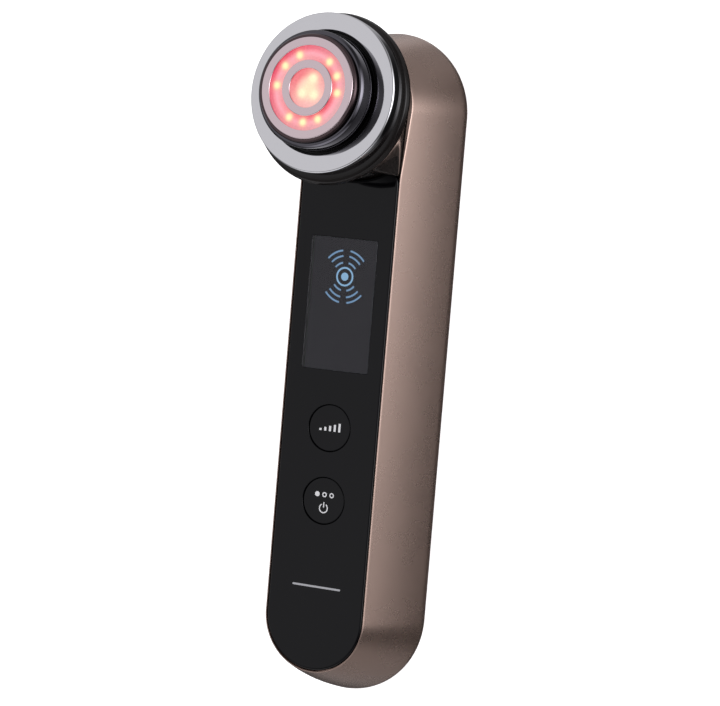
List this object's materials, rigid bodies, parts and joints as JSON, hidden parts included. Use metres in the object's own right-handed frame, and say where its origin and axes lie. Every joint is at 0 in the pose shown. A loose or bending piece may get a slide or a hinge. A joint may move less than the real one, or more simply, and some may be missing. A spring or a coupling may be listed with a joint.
{
  "type": "facial care device",
  "caption": "Hand-held facial care device with a ring electrode head lit by lamps, a long gloss panel with display and two press buttons, and a flared satin shell",
  "frame": {"origin": "centre of the whole object's box, on the flat back face", "axes": "+X to the right and +Y towards the treatment head when looking at the panel, +Z out of the panel"},
  "size_m": [0.0476, 0.1914, 0.0584],
  "materials": {
    "bronze_shell": "satin bronze metallic paint with a fine pearl",
    "black_gloss": "deep gloss black",
    "smoked_window": "smoked clear window",
    "display": "dark display with pale blue marks",
    "silver_electrode": "polished silver plating",
    "dark_chrome": "dark chrome plating on plastic",
    "red_lens": "translucent red, lit from behind",
    "lamp": "warm lamp body",
    "white_plastic": "moulded white plastic",
    "grey_plastic": "moulded chassis plastic",
    "dark_plastic": "moulded dark plastic",
    "rubber": "soft black rubber",
    "foam": "dense foam tape",
    "board": "green solder mask",
    "cell": "shrink-wrapped steel cell",
    "wire": "insulated wire",
    "flex": "amber flexible circuit",
    "gold_contact": "gold plated contact",
    "ferrite": "sintered ferrite core",
    "steel": "zinc plated steel"
  },
  "bodies": {
    "root": {"rear_shell": "bronze_shell", "front_panel": "black_gloss", "display_window": "smoked_window", "display_module": "display", "panel_gasket": "foam", "inner_frame": "grey_plastic", "main_pcb": "board", "level_switch": "dark_plastic", "mode_switch": "dark_plastic", "battery_cell": "cell", "battery_pad": "foam", "battery_leads": "wire", "charge_contacts": "gold_contact", "contact_block": "dark_plastic", "charge_leads": "wire", "buzzer": "dark_plastic", "rf_transformer": "ferrite", "board_connector": "white_plastic", "head_ribbon": "flex", "neck_shell": "black_gloss", "collar_ring": "black_gloss", "head_seal": "rubber", "head_carrier": "dark_plastic", "outer_electrode": "silver_electrode", "ring_insulator": "dark_plastic", "head_barrel": "dark_chrome", "face_rim": "dark_chrome", "outer_face_electrode": "silver_electrode", "led_lens_ring": "red_lens", "inner_face_electrode": "silver_electrode", "centre_lens": "red_lens", "led_reflector": "white_plastic", "led_board": "white_plastic", "ring_leds": "lamp", "centre_leds": "lamp", "case_screws": "steel", "board_screws": "steel", "neck_screws": "steel", "head_screws": "steel"},
    "level_button_body": {"level_button": "black_gloss"},
    "mode_button_body": {"mode_button": "black_gloss"}
  },
  "joints": [
    {"name": "level_press", "type": "slide", "parent": "root", "child": "level_button_body", "axis": [0, 0, -1], "range_m": [0, 0.0005], "stiffness_N_per_m": 600, "springref_m": -0.0012},
    {"name": "mode_press", "type": "slide", "parent": "root", "child": "mode_button_body", "axis": [0, 0, -1], "range_m": [0, 0.0005], "stiffness_N_per_m": 600, "springref_m": -0.0012}
  ]
}
